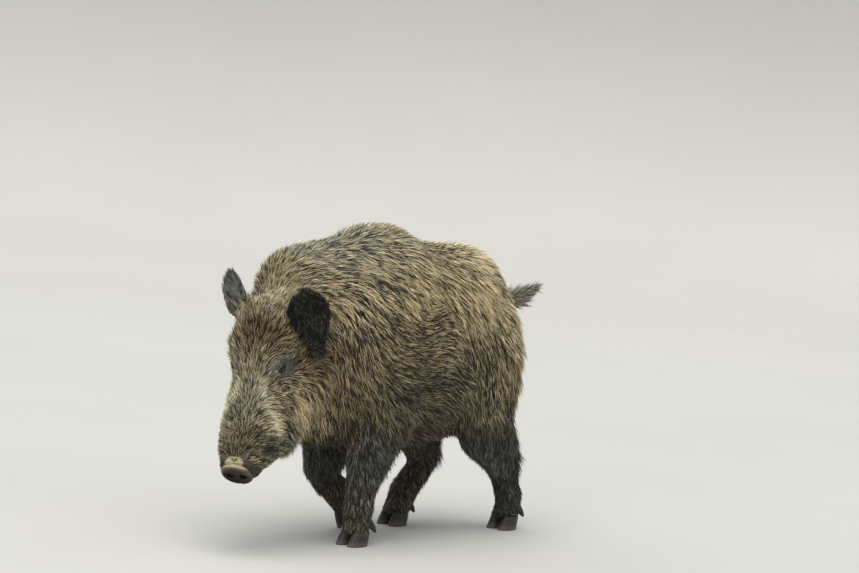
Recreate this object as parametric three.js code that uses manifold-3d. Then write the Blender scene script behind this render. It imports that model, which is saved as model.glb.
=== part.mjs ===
// A wild boar, life size, in its winter coat: it walks with its head low, turned and tilted to its left.
// Millimetres, +Z up. The boar faces -Y, its left side is +X, and all four feet stand on the floor at Z = 0.
// Every solid of flesh is drawn to the tips of the coat. The body is a set of lofts: each has a path through
// its middle, and stations that say how far it reaches to each side of that path.
import * as THREE from "three";
import { mergeVertices } from "three/addons/utils/BufferGeometryUtils.js";
import Module from "manifold-3d";

// ---------------------------------------------------------------- driving sizes

const GAP = 0.4; // between solids that touch
const STANCE = 78; // from the midline to the middle of a foot
const HEAD_AT = [16, -556, 424]; // between the eyes
const HEAD_TURN = 22; // degrees to its left
const HEAD_NOD = 55; // degrees below level
const HEAD_TILT = -6; // degrees, left side down
const SNOUT_LENGTH = 262; // from between the eyes to the face of the nose disc
const EYE_RADIUS = 12;
const NOSE = { width: 74, height: 64, thick: 16, middle: -54, nostril: 8, apart: 30 };
const HOOF = { length: 62, width: 33, height: 34, cleft: 3 };
const DEWCLAW = { length: 38, radius: 9 };

// ---------------------------------------------------------------- solids

const wasm = await Module();
wasm.setup();

const vec = (p) => new THREE.Vector3(...p);
const signedPower = (v, power) => Math.sign(v) * Math.abs(v) ** power;

// A geometry as a manifold-3d solid, moved by a matrix where one is given. Points nearer than weld are joined.
function solid(geometry, matrix, weld = 1e-3) {
  const plain = new THREE.BufferGeometry();
  const source = geometry.index ? geometry.toNonIndexed() : geometry;
  plain.setAttribute("position", source.getAttribute("position").clone());
  if (matrix) plain.applyMatrix4(matrix);
  const merged = mergeVertices(plain, weld);
  return new wasm.Manifold(
    new wasm.Mesh({
      numProp: 3,
      vertProperties: new Float32Array(merged.attributes.position.array),
      triVerts: new Uint32Array(merged.index.array),
    }),
  );
}

const surfaceOf = (made) => {
  const mesh = made.getMesh();
  return new THREE.BufferGeometry()
    .setAttribute("position", new THREE.BufferAttribute(mesh.vertProperties, 3))
    .setIndex(new THREE.BufferAttribute(mesh.triVerts, 1));
};

// The largest body of a solid as a geometry: a cut may leave slivers beside it, or joined to it by a thread
// that the weld parts.
const largest = (made) => made.decompose().sort((a, b) => b.volume() - a.volume())[0];
const geometryOf = (made) => surfaceOf(largest(solid(surfaceOf(largest(made)), null, 0.05)));

// A closed tube through rings of points, each a list of Vector3 in the same order.
function tube(rings) {
  const around = rings[0].length;
  const points = rings.flat();
  const middle = (ring) => ring.reduce((s, p) => s.add(p), vec([0, 0, 0])).divideScalar(around);
  points.push(middle(rings[0]), middle(rings.at(-1)));
  const [first, last] = [points.length - 2, points.length - 1];
  const index = [];
  for (let j = 0; j < around; j++) {
    const next = (j + 1) % around;
    for (let i = 0; i + 1 < rings.length; i++) {
      const [a, b] = [i * around + j, i * around + next];
      index.push(a, b, b + around, a, b + around, a + around);
    }
    const end = (rings.length - 1) * around;
    index.push(first, next, j, last, end + j, end + next);
  }
  const geometry = new THREE.BufferGeometry().setFromPoints(points).setIndex(index);
  return geometry;
}

// A loft. Each station is { at, toward, away, side, square, flat }: the path's point, how far the body reaches
// toward the loft's reference direction, away from it and to each side, and how square its two halves are.
function loft(stations, { reference, steps, around, grow = 0, bumps = [], from = 0, to = 1 }) {
  const curveOf = (pick) => new THREE.CatmullRomCurve3(stations.map(pick), false, "catmullrom", 0.5);
  const path = curveOf((s) => vec(s.at));
  const reach = curveOf((s) => vec([s.toward, s.away, s.side]));
  const shape = curveOf((s) => vec([s.square ?? 2, s.flat ?? 2, 0]));
  const rings = [];
  for (let i = 0; i <= steps; i++) {
    const t = from + ((to - from) * i) / steps;
    const at = path.getPoint(t);
    const [toward, away, side] = reach.getPoint(t).addScalar(grow).toArray();
    const [square, flat] = shape.getPoint(t).toArray();
    const along = path.getTangent(t);
    at.addScaledVector(along, grow * ((i === steps) - (i === 0)));
    const across = vec(reference).cross(along).normalize();
    const up = along.clone().cross(across).normalize();
    const ring = [];
    for (let j = 0; j < around; j++) {
      const angle = (2 * Math.PI * j) / around;
      const [c, s] = [Math.cos(angle), Math.sin(angle)];
      const power = 2 / (s > 0 ? square : flat);
      const point = at
        .clone()
        .addScaledVector(across, side * signedPower(c, power))
        .addScaledVector(up, (s > 0 ? toward : away) * signedPower(s, power));
      ring.push(raised(point, at, bumps));
    }
    rings.push(ring);
  }
  return tube(rings);
}

// Pushes a point away from its section's middle by each bump near it, or in where the push is negative.
function raised(point, middle, bumps) {
  const out = point.clone().sub(middle).normalize();
  let push = 0;
  for (const b of bumps) {
    for (const mirrored of b.at[0] === 0 ? [1] : [1, -1]) {
      const offset = point.clone().sub(vec([b.at[0] * mirrored, b.at[1], b.at[2]]));
      push += b.push * Math.exp(-offset.lengthSq() / (b.size * b.size));
    }
  }
  return point.addScaledVector(out, push);
}

const mesh = (name, geometry, material) => {
  const made = new THREE.Mesh(geometry, material);
  made.name = name;
  return made;
};

// ---------------------------------------------------------------- materials

const coat = new THREE.MeshStandardMaterial({ color: 0x5d5340, roughness: 0.9, metalness: 0 });
const darkCoat = new THREE.MeshStandardMaterial({ color: 0x26241f, roughness: 0.9, metalness: 0 });
const noseSkin = new THREE.MeshStandardMaterial({ color: 0x4a3c33, roughness: 0.45, metalness: 0 });
const horn = new THREE.MeshStandardMaterial({ color: 0x1d1a17, roughness: 0.5, metalness: 0 });
const eyeball = new THREE.MeshStandardMaterial({ color: 0x1a0f08, roughness: 0.08, metalness: 0 });

// ---------------------------------------------------------------- trunk and neck

const UP = [0, 0, 1];
const FORE = [0, -1, 0];

// From the tail end forward to the back of the head. The neck drops and bends to the left, to the head.
const CORE = 470; // height of the path through the trunk
const bodyStation = (y, back, belly, side) => {
  return { at: [0, y, CORE], toward: back - CORE, away: CORE - belly, side, square: 1.9, flat: 2.2 };
};
const BODY = [
  bodyStation(272, 570, 440, 30),
  bodyStation(258, 626, 370, 84),
  bodyStation(214, 674, 300, 126),
  bodyStation(145, 700, 244, 152),
  bodyStation(55, 702, 222, 168),
  bodyStation(-40, 706, 214, 174),
  bodyStation(-130, 730, 214, 174),
  bodyStation(-205, 740, 220, 168),
  bodyStation(-290, 730, 228, 158),
  { at: [-14, -365, 476], toward: 226, away: 250, side: 140, square: 1.9, flat: 2.1 },
  { at: [-30, -440, 470], toward: 204, away: 208, side: 114, square: 2, flat: 2.1 },
  { at: [-38, -482, 462], toward: 150, away: 150, side: 84, square: 2, flat: 2.1 },
];
const NECK_CUT = 0.78; // share of that path where the trunk ends and the neck starts
const bodyLoft = (from, to, steps, grow = 0) =>
  solid(loft(BODY, { reference: UP, steps, around: 26, from, to, grow }));

// ---------------------------------------------------------------- legs

// Each leg goes down from inside the trunk. toward is its front, away its back.
const foreLeg = (x, shoulder, elbow, wrist, fetlock, foot) => [
  { at: [0.8 * x, shoulder, 590], toward: 50, away: 60, side: 30 },
  { at: [1.0 * x, shoulder, 530], toward: 85, away: 100, side: 48 },
  { at: [1.32 * x, (2 * shoulder + elbow) / 3, 430], toward: 98, away: 108, side: 78 },
  { at: [1.24 * x, elbow, 335], toward: 84, away: 98, side: 68 },
  { at: [1.1 * x, (elbow + wrist[0]) / 2, (335 + wrist[1]) / 2], toward: 64, away: 80, side: 57 },
  { at: [1.02 * x, ...wrist], toward: 45, away: 50, side: 43 },
  { at: [x, (wrist[0] + fetlock[0]) / 2, (wrist[1] + fetlock[1]) / 2], toward: 38, away: 40, side: 36 },
  { at: [x, ...fetlock], toward: 37, away: 42, side: 37 },
  { at: [x, ...foot], toward: 38, away: 40, side: 38 },
];
const hindLeg = (x, hip, knee, hock, fetlock, foot) => [
  { at: [0.7 * x, hip, 600], toward: 65, away: 56, side: 34 },
  { at: [1.0 * x, hip, 540], toward: 115, away: 76, side: 62 },
  { at: [1.25 * x, (hip + knee[0]) / 2, 430], toward: 132, away: 96, side: 76 },
  { at: [1.25 * x, ...knee], toward: 106, away: 98, side: 66 },
  { at: [1.14 * x, (knee[0] + hock[0]) / 2, (knee[1] + hock[1]) / 2], toward: 72, away: 66, side: 52 },
  { at: [1.03 * x, ...hock], toward: 44, away: 48, side: 38 },
  { at: [x, (hock[0] + fetlock[0]) / 2, (hock[1] + fetlock[1]) / 2], toward: 35, away: 38, side: 33 },
  { at: [x, ...fetlock], toward: 37, away: 43, side: 36 },
  { at: [x, ...foot], toward: 40, away: 43, side: 38 },
];
// rests is the point on the floor under the foot, lift its height there, and tip how far the toes point down.
const LEGS = {
  foreleg_left: {
    stations: foreLeg(STANCE, -205, -212, [-246, 165], [-254, 80], [-258, 20]),
    foot: { rests: [STANCE, -260], lift: 0, tip: 0 },
  },
  foreleg_right: {
    stations: foreLeg(-STANCE, -205, -195, [-215, 146], [-150, 86], [-108, 48]),
    foot: { rests: [-STANCE, -94], lift: 27, tip: 50 },
  },
  hindleg_left: {
    stations: hindLeg(STANCE, 165, [150, 300], [268, 160], [308, 76], [300, 20]),
    foot: { rests: [STANCE, 298], lift: 0, tip: 0 },
  },
  hindleg_right: {
    stations: hindLeg(-STANCE, 160, [110, 300], [152, 160], [86, 76], [62, 20]),
    foot: { rests: [-STANCE, 62], lift: 0, tip: 0 },
  },
};
const legLoft = ({ stations }, grow = 0) =>
  solid(loft(stations, { reference: FORE, steps: 13, around: 12, grow }));

// A foot's own frame: the floor under it at its origin, its toes to -Y.
const footMatrix = ({ rests, lift, tip }) =>
  new THREE.Matrix4()
    .makeTranslation(...rests, lift)
    .multiply(new THREE.Matrix4().makeRotationX(THREE.MathUtils.degToRad(tip)));

// Half of a cloven hoof: a pointed flat sole, a sloping wall in front and a level top.
function hoofGeometry(side) {
  const [levels, around] = [2, 12];
  const middle = (side * (HOOF.width + HOOF.cleft)) / 2;
  const rings = [];
  for (let i = 0; i <= levels; i++) {
    const t = i / levels;
    const [long, wide] = [(HOOF.length / 2) * (1 - 0.22 * t), (HOOF.width / 2) * (1 - 0.08 * t)];
    const ring = [];
    for (let j = 0; j < around; j++) {
      const angle = (2 * Math.PI * j) / around;
      const toe = Math.max(0, -Math.sin(angle));
      const x = wide * signedPower(Math.cos(angle), 0.8) * (1 - 0.3 * toe * toe);
      ring.push(vec([middle + x, long * Math.sin(angle) - 8 + 12 * t, HOOF.height * t]));
    }
    rings.push(ring);
  }
  return tube(rings);
}

// A dewclaw: a blunt cone behind and above the hooves, pointing down and back.
const dewclawGeometry = (side, grow = 0) => {
  const station = (at, radius) => ({ at, toward: radius, away: radius, side: radius });
  const [high, low] = [HOOF.height + 34, HOOF.height + 34 - DEWCLAW.length];
  const stations = [
    station([side * 15, 18, high], 0.8 * DEWCLAW.radius),
    station([side * 20, 34, (high + low) / 2], DEWCLAW.radius),
    station([side * 25, 47, low], 0.4 * DEWCLAW.radius),
  ];
  return loft(stations, { reference: FORE, steps: 3, around: 7, grow });
};

// ---------------------------------------------------------------- tail

// A short tail held out behind, with a tassel: it starts inside the rump.
const TAIL = [
  { at: [0, 235, 572], toward: 15, away: 17, side: 15 },
  { at: [1, 275, 570], toward: 15, away: 17, side: 15 },
  { at: [5, 320, 564], toward: 15, away: 20, side: 14 },
  { at: [11, 362, 572], toward: 17, away: 26, side: 16 },
  { at: [17, 396, 588], toward: 13, away: 18, side: 11 },
  { at: [20, 412, 598], toward: 4, away: 5, side: 4 },
];
const tailLoft = (grow = 0) => solid(loft(TAIL, { reference: UP, steps: 9, around: 10, grow }));

// ---------------------------------------------------------------- head, in its own frame

// The head's frame starts between the eyes: +X its left, -Y its nose, +Z its brow.
const headCore = (y) => NOSE.middle - 0.06 * (y + SNOUT_LENGTH);
const headStation = (y, brow, chin, side, square = 2.3, flat = 2.2) => {
  const middle = headCore(y);
  return { at: [0, y, middle], toward: brow - middle, away: middle - chin, side, square, flat };
};
const HEAD = [
  headStation(152, 30, -90, 44),
  headStation(126, 78, -170, 88),
  headStation(84, 86, -224, 104),
  headStation(40, 74, -230, 97),
  headStation(0, 58, -222, 86),
  headStation(-40, 40, -212, 78),
  headStation(-90, 22, -188, 74),
  headStation(-150, 6, -150, 73),
  headStation(-200, -8, -118, 64),
  headStation(-232, -16, -94, 51),
  headStation(-SNOUT_LENGTH + 16, -22, -86, 39),
];
const HEAD_BUMPS = [
  { at: [44, -2, 38], size: 26, push: 7 }, // brow over each eye
  { at: [68, -20, 4], size: 20, push: -8 }, // eye socket
  { at: [84, 30, -60], size: 44, push: 12 }, // cheekbone
  { at: [92, 62, -140], size: 64, push: 20 }, // jowl
  { at: [56, -165, -86], size: 30, push: 8 }, // lip over the canine
  { at: [0, -70, 34], size: 40, push: -5 }, // stop
];
const headLoft = (grow = 0) =>
  solid(loft(HEAD, { reference: UP, steps: 21, around: 26, grow, bumps: HEAD_BUMPS }));

const EYES = { eye_left: [55, -11, 2], eye_right: [-55, -11, 2] };

// An ear is a cupped leaf: rings of an outer arc and the same arc set in by the ear's thickness. It opens to -Y
// and its root runs on into the head.
const EAR = { length: 126, width: 96, thick: 8, cup: 1.2, root: 0.16 };
function earGeometry() {
  const [steps, arc] = [11, 7];
  const rings = [];
  for (let i = 0; i <= steps; i++) {
    const along = (1 + EAR.root) * (i / steps) - EAR.root;
    const t = Math.max(0, along);
    const spread = EAR.cup * (1 - 0.45 * t);
    const broad = 0.4 + 0.6 * Math.sin(Math.PI * (0.02 + 0.78 * t));
    const radius = ((EAR.width / 2) * broad * Math.sqrt(1 - 0.93 * t ** 8)) / Math.sin(spread);
    const ring = [];
    for (const inset of [0, EAR.thick * (1 - 0.5 * t)]) {
      for (let j = 0; j < arc; j++) {
        const share = (2 * j) / (arc - 1) - 1;
        const angle = (inset ? share : -share) * spread;
        const r = radius - inset * (1 - 0.5 * Math.abs(share));
        ring.push(vec([r * Math.sin(angle), r * Math.cos(angle) - radius - 22 * t * t, EAR.length * along]));
      }
    }
    rings.push(ring);
  }
  return tube(rings);
}

// How each ear stands on the head: its base, the way its tip points and the way it opens.
const EARS = {
  ear_left: { base: [113, 55, -7], tip: [-0.18, 0.8, 0.57], opens: [0.39, -0.5, 0.77] },
  ear_right: { base: [-47, 86, 18], tip: [-0.24, 0.82, 0.52], opens: [-0.62, -0.45, 0.64] },
};
const earMatrix = ({ base, tip, opens }) => {
  const z = vec(tip).normalize();
  const x = z.clone().cross(vec(opens)).normalize();
  return new THREE.Matrix4().makeBasis(x, z.clone().cross(x), z).setPosition(...base);
};

// The nose disc: a thick oval pad across the end of the snout, with a nostril on each side.
function noseSolid() {
  const back = -SNOUT_LENGTH + NOSE.thick - GAP;
  const station = (y, share) => {
    const [side, half] = [(share * NOSE.width) / 2, (share * NOSE.height) / 2];
    return { at: [0, y, headCore(y)], toward: half, away: half, side, square: 2.3, flat: 2.1 };
  };
  const stations = [station(back, 0.92), station(back - 6, 1), station(back - 12, 1), station(-SNOUT_LENGTH, 0.86)];
  let pad = solid(loft(stations, { reference: UP, steps: 4, around: 20 }));
  for (const side of [1, -1]) {
    const hole = new THREE.Matrix4().makeTranslation((side * NOSE.apart) / 2, -SNOUT_LENGTH, NOSE.middle - 2);
    hole.scale(vec([NOSE.nostril, 10, 0.75 * NOSE.nostril]));
    pad = pad.subtract(solid(new THREE.SphereGeometry(1, 10, 6), hole));
  }
  return pad;
}

const headGroup = new THREE.Group();
headGroup.position.set(...HEAD_AT);
headGroup.rotation.set(
  THREE.MathUtils.degToRad(HEAD_NOD),
  THREE.MathUtils.degToRad(HEAD_TILT),
  THREE.MathUtils.degToRad(HEAD_TURN),
  "ZXY",
);
headGroup.updateMatrixWorld(true);

let headSolid = headLoft();
for (const [name, at] of Object.entries(EYES)) {
  const eye = mesh(name, new THREE.SphereGeometry(EYE_RADIUS, 12, 8), eyeball);
  eye.position.set(...at);
  eye.updateMatrix();
  headGroup.add(eye);
  const socket = new THREE.SphereGeometry(EYE_RADIUS + GAP, 12, 8);
  headSolid = headSolid.subtract(solid(socket, eye.matrix));
}
for (const [name, stand] of Object.entries(EARS)) {
  const ear = solid(earGeometry(), earMatrix(stand)).subtract(headLoft(GAP));
  headGroup.add(mesh(name, geometryOf(ear), darkCoat));
}
headGroup.add(mesh("head", geometryOf(headSolid), coat));
headGroup.add(mesh("nose", geometryOf(noseSolid()), noseSkin));

// ---------------------------------------------------------------- putting the boar together

const boar = new THREE.Group();
boar.add(headGroup);

// A block that reaches down from a level, to cut a solid off there.
const blockBelow = (level, matrix = new THREE.Matrix4()) => {
  const block = new THREE.BoxGeometry(400, 400, 200).translate(0, 0, level - 100);
  return solid(block, matrix);
};

const headCut = solid(surfaceOf(headLoft(GAP)), headGroup.matrixWorld);
let trunk = bodyLoft(0, NECK_CUT - 0.0005, 18).subtract(headCut);
for (const [name, leg] of Object.entries(LEGS)) {
  trunk = trunk.subtract(legLoft(leg, GAP));
  const frame = footMatrix(leg.foot);
  let flesh = legLoft(leg).subtract(blockBelow(HOOF.height + GAP, frame));
  for (const [label, side] of [["left", 1], ["right", -1]]) {
    const floor = new THREE.Matrix4().makeTranslation(...leg.foot.rests, 0);
    const hoof = solid(hoofGeometry(side), frame).subtract(blockBelow(0, floor));
    boar.add(mesh(`hoof_${label}_${name}`, geometryOf(hoof), horn));
    flesh = flesh.subtract(solid(dewclawGeometry(side, GAP), frame));
    boar.add(mesh(`dewclaw_${label}_${name}`, geometryOf(solid(dewclawGeometry(side), frame)), horn));
  }
  boar.add(mesh(name, geometryOf(flesh), darkCoat));
}
trunk = trunk.subtract(tailLoft(GAP));
boar.add(mesh("trunk", geometryOf(trunk), coat));
boar.add(mesh("tail", geometryOf(tailLoft()), darkCoat));
const neck = bodyLoft(NECK_CUT, 1, 6).subtract(headCut);
boar.add(mesh("neck", geometryOf(neck), coat));

// The origin is on the floor, under the middle of the boar's box.
const box = new THREE.Box3().setFromObject(boar, true);
boar.position.set(-(box.min.x + box.max.x) / 2, -(box.min.y + box.max.y) / 2, 0);

export default new THREE.Group().add(boar);
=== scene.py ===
"""A wild boar in its winter coat, life size: one skin, and over it a coat of solid locks of hair.

Metres, +Z up; the boar faces -Y and its left side is +X. Sizes on the head are in millimetres, in the head's
own frame: it starts between the eyes, with +X to the boar's left, -Y to its nose and +Z to its brow.
"""

import math

import bmesh
import bpy
import numpy as np
from mathutils import Matrix, Vector, kdtree, noise
from mathutils.bvhtree import BVHTree


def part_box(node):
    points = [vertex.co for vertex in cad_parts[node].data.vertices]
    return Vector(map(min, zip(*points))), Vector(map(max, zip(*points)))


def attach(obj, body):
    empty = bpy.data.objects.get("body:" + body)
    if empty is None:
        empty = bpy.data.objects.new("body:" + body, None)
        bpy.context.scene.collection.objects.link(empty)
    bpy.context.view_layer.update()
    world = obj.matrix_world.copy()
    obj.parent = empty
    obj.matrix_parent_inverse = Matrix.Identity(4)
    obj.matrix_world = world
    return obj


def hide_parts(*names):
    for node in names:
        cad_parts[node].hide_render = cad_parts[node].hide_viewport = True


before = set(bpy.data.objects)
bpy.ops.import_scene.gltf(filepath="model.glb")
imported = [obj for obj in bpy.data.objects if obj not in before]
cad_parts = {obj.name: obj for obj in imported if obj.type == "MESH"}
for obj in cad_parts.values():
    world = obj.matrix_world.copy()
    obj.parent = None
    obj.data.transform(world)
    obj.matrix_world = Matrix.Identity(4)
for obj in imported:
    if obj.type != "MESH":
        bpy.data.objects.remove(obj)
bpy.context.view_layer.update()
scene = bpy.context.scene
SEED = 7
random = np.random.default_rng(SEED)
noise.seed_set(SEED)
MM = 0.001

# ---------------- camera, floor and light

AZIMUTH, ELEVATION, ROLL = math.radians(40), math.radians(6), math.radians(5)
DISTANCE = 6.5
LENS = 113.3
TARGET = Vector((0, 0.131, 0.4))  # inside the trunk
AIM = (0.035, 0.1935)  # from there to the middle of the picture, to its right and up


def add_camera():
    flat = math.cos(ELEVATION)
    back = Vector((math.sin(AZIMUTH) * flat, -math.cos(AZIMUTH) * flat, math.sin(ELEVATION)))
    level = Vector((math.cos(AZIMUTH), math.sin(AZIMUTH), 0))
    rise = back.cross(level)
    right = level * math.cos(ROLL) + rise * math.sin(ROLL)
    up = rise * math.cos(ROLL) - level * math.sin(ROLL)
    eye = TARGET + DISTANCE * back
    back = (eye - TARGET - AIM[0] * right - AIM[1] * up).normalized()
    right = up.cross(back).normalized()
    camera = bpy.data.objects.new("camera", bpy.data.cameras.new("camera"))
    camera.data.lens = LENS
    axes = Matrix((right, back.cross(right), back)).transposed()
    camera.matrix_world = Matrix.Translation(eye) @ axes.to_4x4()
    scene.collection.objects.link(camera)
    scene.camera = camera


def add_light(name, kind, at, colour, **settings):
    light = bpy.data.lights.new(name, kind)
    light.color = colour
    for setting, value in settings.items():
        setattr(light, setting, value)
    lamp = bpy.data.objects.new(name, light)
    lamp.location = at
    lamp.rotation_euler = (TARGET - lamp.location).to_track_quat("-Z", "Y").to_euler()
    scene.collection.objects.link(lamp)


def add_light_and_sky():
    world = bpy.data.worlds.new("sky")
    world.use_nodes = True
    sky = world.node_tree.nodes["Background"]
    sky.inputs["Color"].default_value = (0.95, 0.98, 1, 1)
    sky.inputs["Strength"].default_value = 0.85
    scene.world = world
    add_light("overcast", "SUN", (0.6, -1.2, 6), (1, 0.99, 0.96), energy=1.9, angle=math.radians(50))
    add_light("fill", "AREA", (1.6, -5.6, 2.6), (1, 0.97, 0.92), energy=60, size=3.0)
    scene.view_settings.view_transform = "Standard"


# ---------------- materials


class Material:
    """A Principled material, with a few helpers to link nodes to it."""

    def __init__(self, name, **constants):
        self.made = bpy.data.materials.new(name)
        self.made.use_nodes = True
        self.tree = self.made.node_tree
        self.shader = self.tree.nodes["Principled BSDF"]
        for socket, value in constants.items():
            self.shader.inputs[socket.replace("_", " ")].default_value = value
        self.place = self.node("ShaderNodeTexCoord").outputs["Object"]

    def node(self, kind, inputs=None, **settings):
        made = self.tree.nodes.new(kind)
        for name, value in settings.items():
            setattr(made, name, value)
        for name, value in (inputs or {}).items():
            if isinstance(value, bpy.types.NodeSocket):
                self.tree.links.new(value, made.inputs[name])
            else:
                made.inputs[name].default_value = value
        return made

    def noise(self, scale, detail=3.0):
        inputs = {"Vector": self.place, "Scale": scale, "Detail": detail, "Roughness": 0.6}
        return self.node("ShaderNodeTexNoise", inputs).outputs["Fac"]

    def mapped(self, value, low, high, start=0.3, stop=0.7):
        inputs = {"Value": value, "From Min": start, "From Max": stop, "To Min": low, "To Max": high}
        return self.node("ShaderNodeMapRange", inputs).outputs["Result"]

    def shaded(self, colour, value, low, high):
        """The colour, made darker or lighter by a value from 0.3 to 0.7."""
        inputs = {0: colour, "Scale": self.mapped(value, low, high)}
        return self.node("ShaderNodeVectorMath", inputs, operation="SCALE").outputs["Vector"]

    def attribute(self, name, output):
        return self.node("ShaderNodeAttribute", attribute_name=name).outputs[output]

    def finish(self, colour, rough, height, bump, depth=0.0005):
        bumps = self.node("ShaderNodeBump", {"Height": height, "Strength": bump, "Distance": depth})
        inputs = {"Base Color": colour, "Roughness": rough, "Normal": bumps.outputs["Normal"]}
        for name, socket in inputs.items():
            self.tree.links.new(socket, self.shader.inputs[name])
        return self.made


def tinted_material(name, grain, rough, bump, spread=(0.8, 1.2), **constants):
    """The piece's own tint, with grain of a given scale in its colour, roughness and height."""
    m = Material(name, **constants)
    fine = m.noise(grain)
    colour = m.shaded(m.attribute("tint", "Color"), fine, *spread)
    return m.finish(colour, m.mapped(fine, *rough), fine, bump)


# ---------------- meshes as arrays


def unit(vectors):
    return vectors / np.maximum(np.linalg.norm(vectors, axis=-1, keepdims=True), 1e-12)


def read(collection, name, width, kind=np.float64):
    values = np.empty(len(collection) * width, kind)
    collection.foreach_get(name, values)
    return values.reshape(-1, width)


class Surface:
    """A mesh's points, triangles and edges as arrays."""

    def __init__(self, mesh):
        self.mesh = mesh
        self.points = read(mesh.vertices, "co", 3)
        mesh.calc_loop_triangles()
        self.triangles = read(mesh.loop_triangles, "vertices", 3, np.int32)
        edges = read(mesh.edges, "vertices", 2, np.int32)
        self.ends = np.concatenate((edges, edges[:, ::-1]))
        self.count = np.bincount(self.ends[:, 0], minlength=len(self.points))

    def normals(self):
        a, b, c = (self.points[self.triangles[:, k]] for k in range(3))
        facing = np.cross(b - a, c - a)
        total = np.zeros_like(self.points)
        for corner in self.triangles.T:
            for axis in range(3):
                total[:, axis] += np.bincount(corner, facing[:, axis], len(self.points))
        return unit(total)

    def smoothed(self, values, times, share=0.5):
        """Values at the points, each drawn some times towards the mean of its neighbours."""
        for _ in range(times):
            columns = values.reshape(len(values), -1).T
            sums = [np.bincount(self.ends[:, 0], c[self.ends[:, 1]], len(values)) for c in columns]
            mean = (np.array(sums) / self.count).T.reshape(values.shape)
            values = values + share * (mean - values)
        return values

    def store(self):
        self.mesh.vertices.foreach_set("co", self.points.ravel())
        self.mesh.update()


def add_tint(mesh, colours):
    tint = mesh.color_attributes.new(name="tint", type="FLOAT_COLOR", domain="POINT")
    tint.data.foreach_set("color", np.column_stack((colours, np.ones(len(colours)))).ravel())


def finished(name, mesh, material, slot, *replaced):
    """The object of a finished mesh, smooth, riding on the one body, in the place of the CAD nodes named."""
    mesh.materials.clear()
    mesh.materials.append(material)
    mesh.shade_smooth()
    made = bpy.data.objects.new(name, mesh)
    scene.collection.objects.link(made)
    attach(made, "root")
    if replaced:
        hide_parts(*replaced)
    return made


def voxelled(nodes, size, grow):
    """CAD nodes as one even mesh of quads, each grown by its own length or by that of "rest"."""
    joined = bmesh.new()
    for name in nodes:
        part = bmesh.new()
        part.from_mesh(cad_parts[name].data)
        bmesh.ops.remove_doubles(part, verts=part.verts, dist=1e-5)
        part.normal_update()
        for vertex in part.verts:
            vertex.co += vertex.normal * grow.get(name, grow["rest"])
        mesh = bpy.data.meshes.new("part")
        part.to_mesh(mesh)
        part.free()
        joined.from_mesh(mesh)
        bpy.data.meshes.remove(mesh)
    mesh = bpy.data.meshes.new("joined")
    joined.to_mesh(mesh)
    joined.free()
    holder = bpy.data.objects.new("joined", mesh)
    scene.collection.objects.link(holder)
    remesh = holder.modifiers.new("remesh", "REMESH")
    remesh.mode = "VOXEL"
    remesh.voxel_size = size
    made = bpy.data.meshes.new_from_object(holder.evaluated_get(bpy.context.evaluated_depsgraph_get()))
    bpy.data.objects.remove(holder)
    return made


# ---------------- the boar's own frames

EYE = np.array([55, -11, 2])  # the left one; the right one is its mirror image
EYE_RADIUS = 12
GAZE = np.array([0.80, -0.47, 0.37])  # the way the left eye looks
SLIT = np.array([0.45, 0.85, 0.26])  # the way the slit between its lids runs back
NOSE = np.array([0, -254, -54])
SADDLE = np.array([0, -245, -14])  # the bare fold of skin across the snout, behind the disc
SADDLE_COLOUR = (0.36, 0.30, 0.19)
LID_COLOUR = (0.12, 0.12, 0.095)


def middle_of(node):
    low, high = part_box(node)
    return np.array((low + high) / 2)


def eye_at(side):
    """An eye's place on the head; side is 1 for the left, -1 for the right, 0 for the middle between them."""
    return EYE * [side, 1, 1]


def axes_from(across, forward):
    """Axes as columns: across, then forward made square to it, then the third."""
    x = unit(across)
    y = unit(forward - np.dot(forward, x) * x)
    return np.column_stack((x, y, np.cross(x, y)))


# The head's frame, from the places of the eyes and the nose disc in the CAD and on the head.
LEFT_EYE, RIGHT_EYE = middle_of("eye_left"), middle_of("eye_right")
BETWEEN_EYES = (LEFT_EYE + RIGHT_EYE) / 2
HEAD_AXES = (
    axes_from(LEFT_EYE - RIGHT_EYE, BETWEEN_EYES - middle_of("nose"))
    @ axes_from(np.array([1.0, 0, 0]), eye_at(0) - NOSE).T
)
HEAD_AT = BETWEEN_EYES - HEAD_AXES @ eye_at(0) * MM


def to_head(points):
    return (points - HEAD_AT) @ HEAD_AXES / MM


def from_head(points):
    return points @ HEAD_AXES.T * MM + HEAD_AT


TRUNK = [np.array(corner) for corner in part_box("trunk")]


def to_body(points):
    """-1 to 1 across the trunk, 0 to 1 along it from the shoulders to the rump, 0 to 1 up from the floor."""
    low, high = TRUNK
    middle = (low[0] + high[0]) / 2
    across = (points[:, 0] - middle) / (high[0] - middle)
    along = (points[:, 1] - low[1]) / (high[1] - low[1])
    return np.column_stack((across, along, points[:, 2] / high[2]))


def near(points, at, size):
    """1 at a point, falling to 0 over a size that may differ by axis."""
    return np.exp(-(((points - at) / size) ** 2).sum(1))


def bell(values, at, size):
    """1 at a value, falling to 0 over a size."""
    return np.exp(-(((values - at) / size) ** 2))


def noise_at(points, scale=1, kind=noise.noise):
    return np.array([kind(Vector(p) * scale) for p in points])


def step(values, start, stop):
    """0 up to start, 1 from stop on, and smooth between them; start may be the greater."""
    t = np.clip((values - start) / (stop - start), 0, 1)
    return t * t * (3 - 2 * t)


# ---------------- the coat, part by part

LEGS = ("foreleg_left", "foreleg_right", "hindleg_left", "hindleg_right")
FLESH = ("trunk", "neck", "head", "ear_left", "ear_right", "tail", *LEGS)
EAR_TIP = {"ear_left": (-0.18, 0.8, 0.57), "ear_right": (-0.24, 0.82, 0.52)}  # in the head's frame
EAR_OPENS = {"ear_left": (0.39, -0.5, 0.77), "ear_right": (-0.62, -0.45, 0.64)}

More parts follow.
